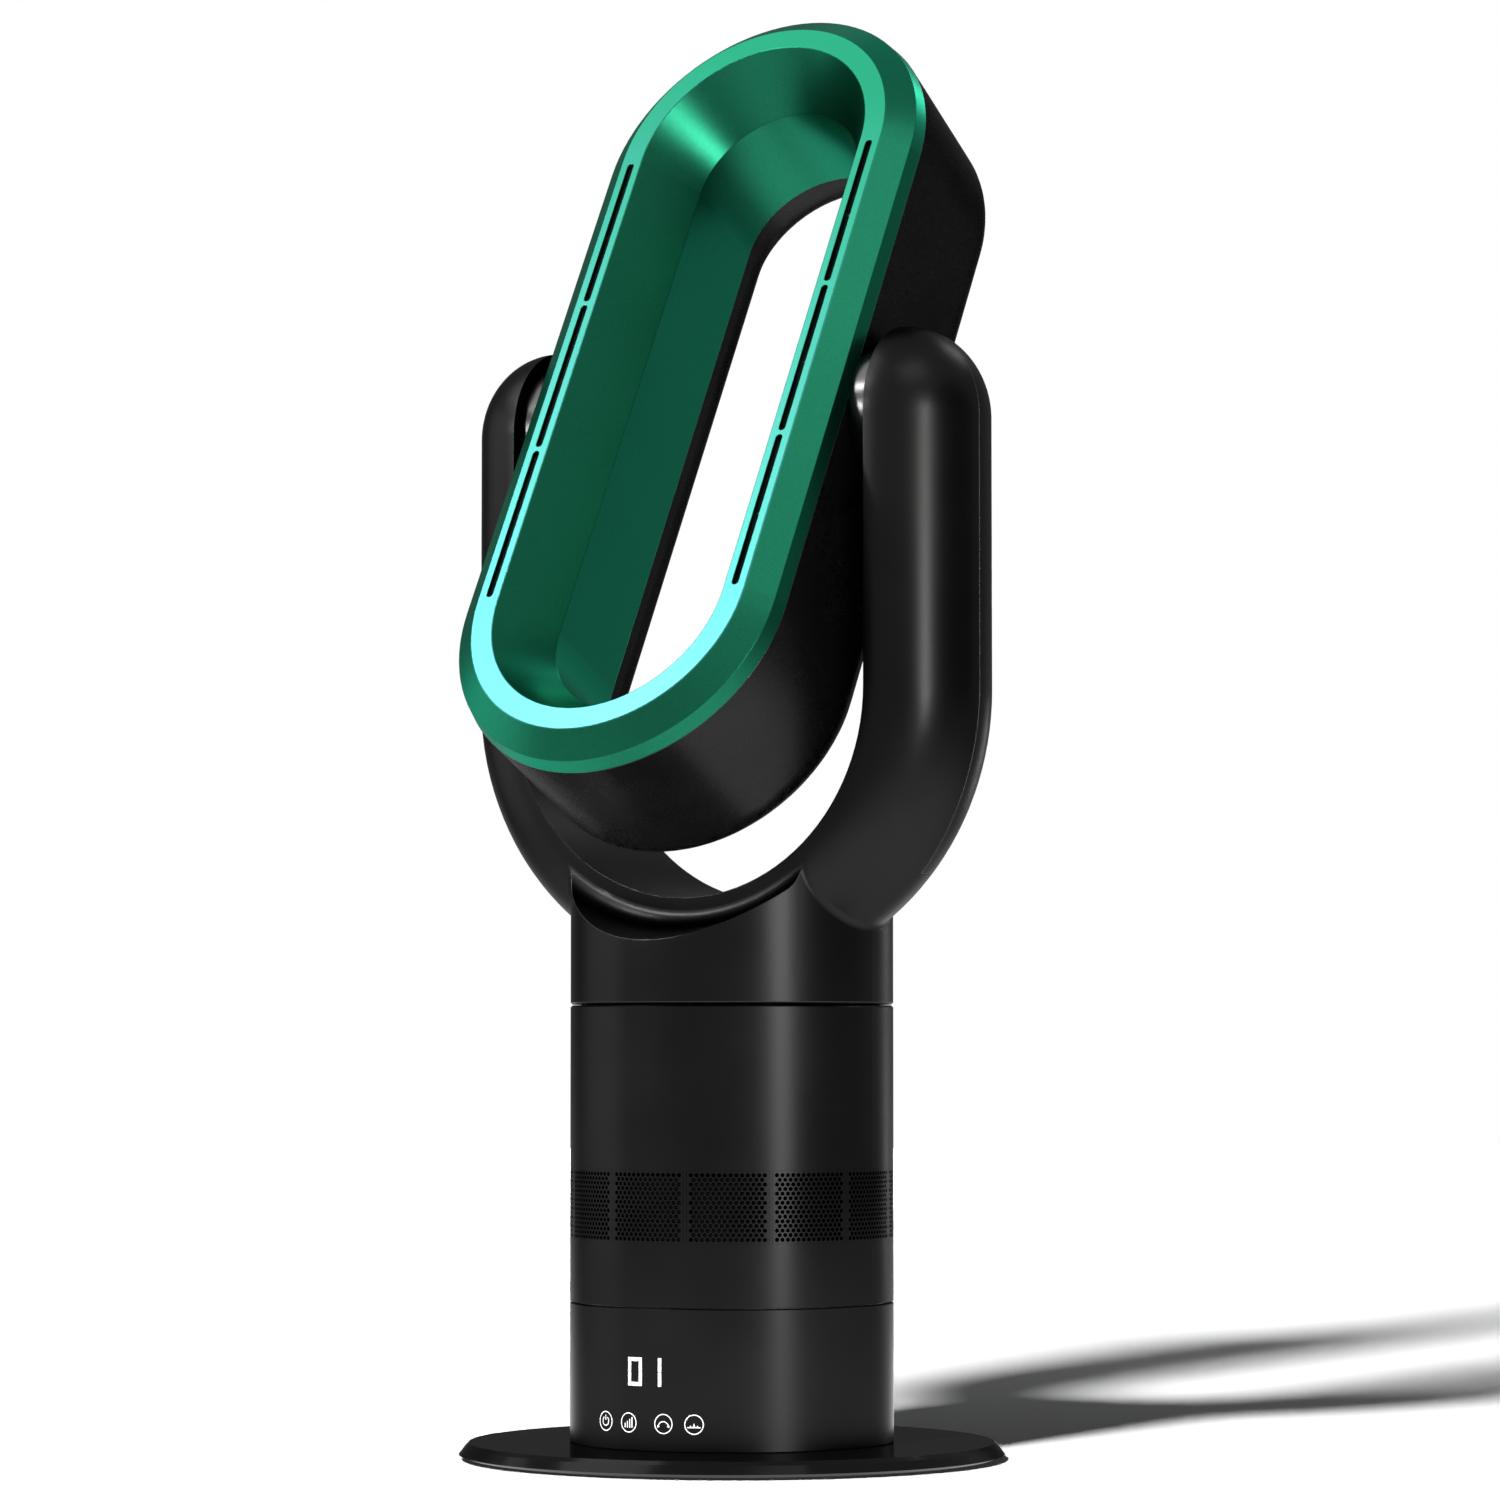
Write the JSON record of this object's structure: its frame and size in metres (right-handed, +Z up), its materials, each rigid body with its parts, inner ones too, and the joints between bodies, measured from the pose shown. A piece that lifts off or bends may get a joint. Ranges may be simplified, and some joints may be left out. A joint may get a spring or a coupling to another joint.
{
  "type": "bladeless fan",
  "caption": "Bladeless fan: a tall oval air ring tilting in a forked yoke on a swinging cylindrical tower with a perforated intake band, touch controls and a round base plate.",
  "frame": {"origin": "centre of the round foot pad, on the surface that the fan stands on", "axes": "+Z is up along the tower, the ring blows towards -Y, and X runs across the two arms of the yoke"},
  "size_m": [0.2282, 0.2427, 0.5899],
  "materials": {
    "black_satin": "satin black moulding with a fine texture",
    "board": "green circuit board",
    "cast_weight": "grey cast iron",
    "component": "moulded electronic components",
    "copper": "copper windings on a laminated core",
    "fan_plastic": "glass filled grey plastic",
    "foam": "black open-cell foam",
    "gear_plastic": "natural acetal",
    "green_gloss": "metallic emerald green, glossy lip and satin duct",
    "grey_rubber": "dark grey silicone rubber",
    "grille": "satin black perforated steel",
    "inner_plastic": "dark grey structural moulding",
    "leads": "sleeved lead bundle",
    "lit_glyph": "translucent white inlay, lit from behind",
    "magnet": "dark ferrite",
    "plate_gloss": "glossy black moulding with a bright turned rim",
    "rubber": "matt black rubber",
    "socket": "black socket moulding",
    "steel": "bright zinc plated or turned steel"
  },
  "bodies": {
    "base": {"base_plate": "plate_gloss", "base_weight": "cast_weight", "foot_pad": "rubber", "base_screws": "steel", "control_housing": "black_satin", "display_digits": "lit_glyph", "touch_icons": "lit_glyph", "control_board": "board", "board_screws": "steel", "display_module": "component", "touch_pads": "grey_rubber", "main_board": "board", "power_components": "component", "power_inlet": "socket", "turntable_deck": "inner_plastic", "deck_screws": "steel", "thrust_ring": "gear_plastic", "oscillation_motor": "steel", "motor_screws": "steel"},
    "pinion": {"oscillation_pinion": "gear_plastic", "pinion_shaft": "steel"},
    "column": {"turntable": "inner_plastic", "ring_gear": "gear_plastic", "spindle_clip": "steel", "turntable_screws": "steel", "motor_board": "board", "motor_board_screws": "steel", "lead_bundle": "leads", "main_housing": "black_satin", "intake_grilles": "grille", "dust_screen": "foam", "inlet_ring": "inner_plastic", "bucket_seal": "grey_rubber", "motor_bucket": "inner_plastic", "isolation_ring": "grey_rubber", "diffuser": "inner_plastic", "motor_cap": "inner_plastic", "motor_bearings": "steel", "motor_stator": "copper", "yoke_front_shell": "black_satin", "yoke_back_covers": "black_satin", "yoke_screws": "steel", "seam_screws": "steel", "trunnion_bushes": "gear_plastic", "friction_washers": "grey_rubber"},
    "impeller": {"impeller": "fan_plastic", "impeller_shaft": "steel", "impeller_nut": "steel", "rotor_magnet": "magnet"},
    "loop": {"front_bezel": "green_gloss", "inner_duct": "green_gloss", "rear_shell": "black_satin", "nozzle_strips": "inner_plastic", "loop_gasket": "grey_rubber", "trunnions": "black_satin", "trunnion_screws": "steel", "trunnion_clips": "steel"}
  },
  "joints": [
    {"name": "swing", "type": "hinge", "parent": "base", "child": "column", "pos_m": [0, 0, 0.0598], "axis": [0, 0, 1], "range_deg": [-40, 40]},
    {"name": "pinion_turn", "type": "hinge", "parent": "base", "child": "pinion", "pos_m": [0.03815, 0, 0.047], "axis": [0, 0, 1], "range_deg": [-150, 150]},
    {"name": "impeller_spin", "type": "hinge", "parent": "column", "child": "impeller", "pos_m": [0, 0, 0.14], "axis": [0, 0, 1], "continuous": true},
    {"name": "ring_tilt", "type": "hinge", "parent": "column", "child": "loop", "pos_m": [0, 0, 0.4144], "axis": [-1, 0, 0], "range_deg": [-74.15, 15.85]}
  ],
  "couplings": [
    {"joint": "pinion_turn", "follows": "swing", "ratio": -3.75}
  ]
}
